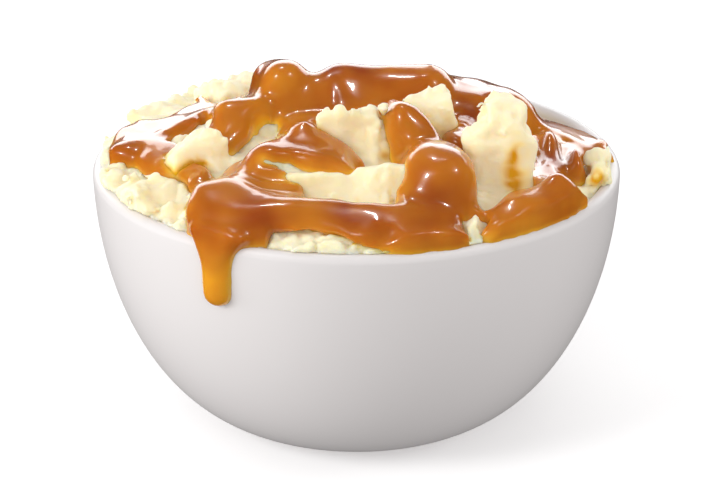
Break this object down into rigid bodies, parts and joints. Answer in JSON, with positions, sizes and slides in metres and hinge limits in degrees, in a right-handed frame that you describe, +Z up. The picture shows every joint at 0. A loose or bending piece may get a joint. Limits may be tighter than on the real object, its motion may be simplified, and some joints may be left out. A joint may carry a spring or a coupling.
{
  "type": "mashed potato side",
  "caption": "Small round white bowl heaped with rough mashed potato under a thick ladled gravy that runs over the rim at one place.",
  "frame": {"origin": "middle of the bowl's foot, on the surface that it stands on", "axes": "+Z up, -Y towards the side with the run of gravy over the rim, +X to the right seen from there"},
  "size_m": [0.13, 0.13, 0.0887],
  "materials": {
    "porcelain": "glazed white porcelain, smooth and glossy",
    "mashed_potato": "moist pale cream mash, rough and torn",
    "gravy": "thick glossy brown gravy, golden where thin"
  },
  "bodies": {
    "root": {"bowl": "porcelain", "mashed_potato": "mashed_potato", "gravy": "gravy"}
  },
  "joints": []
}
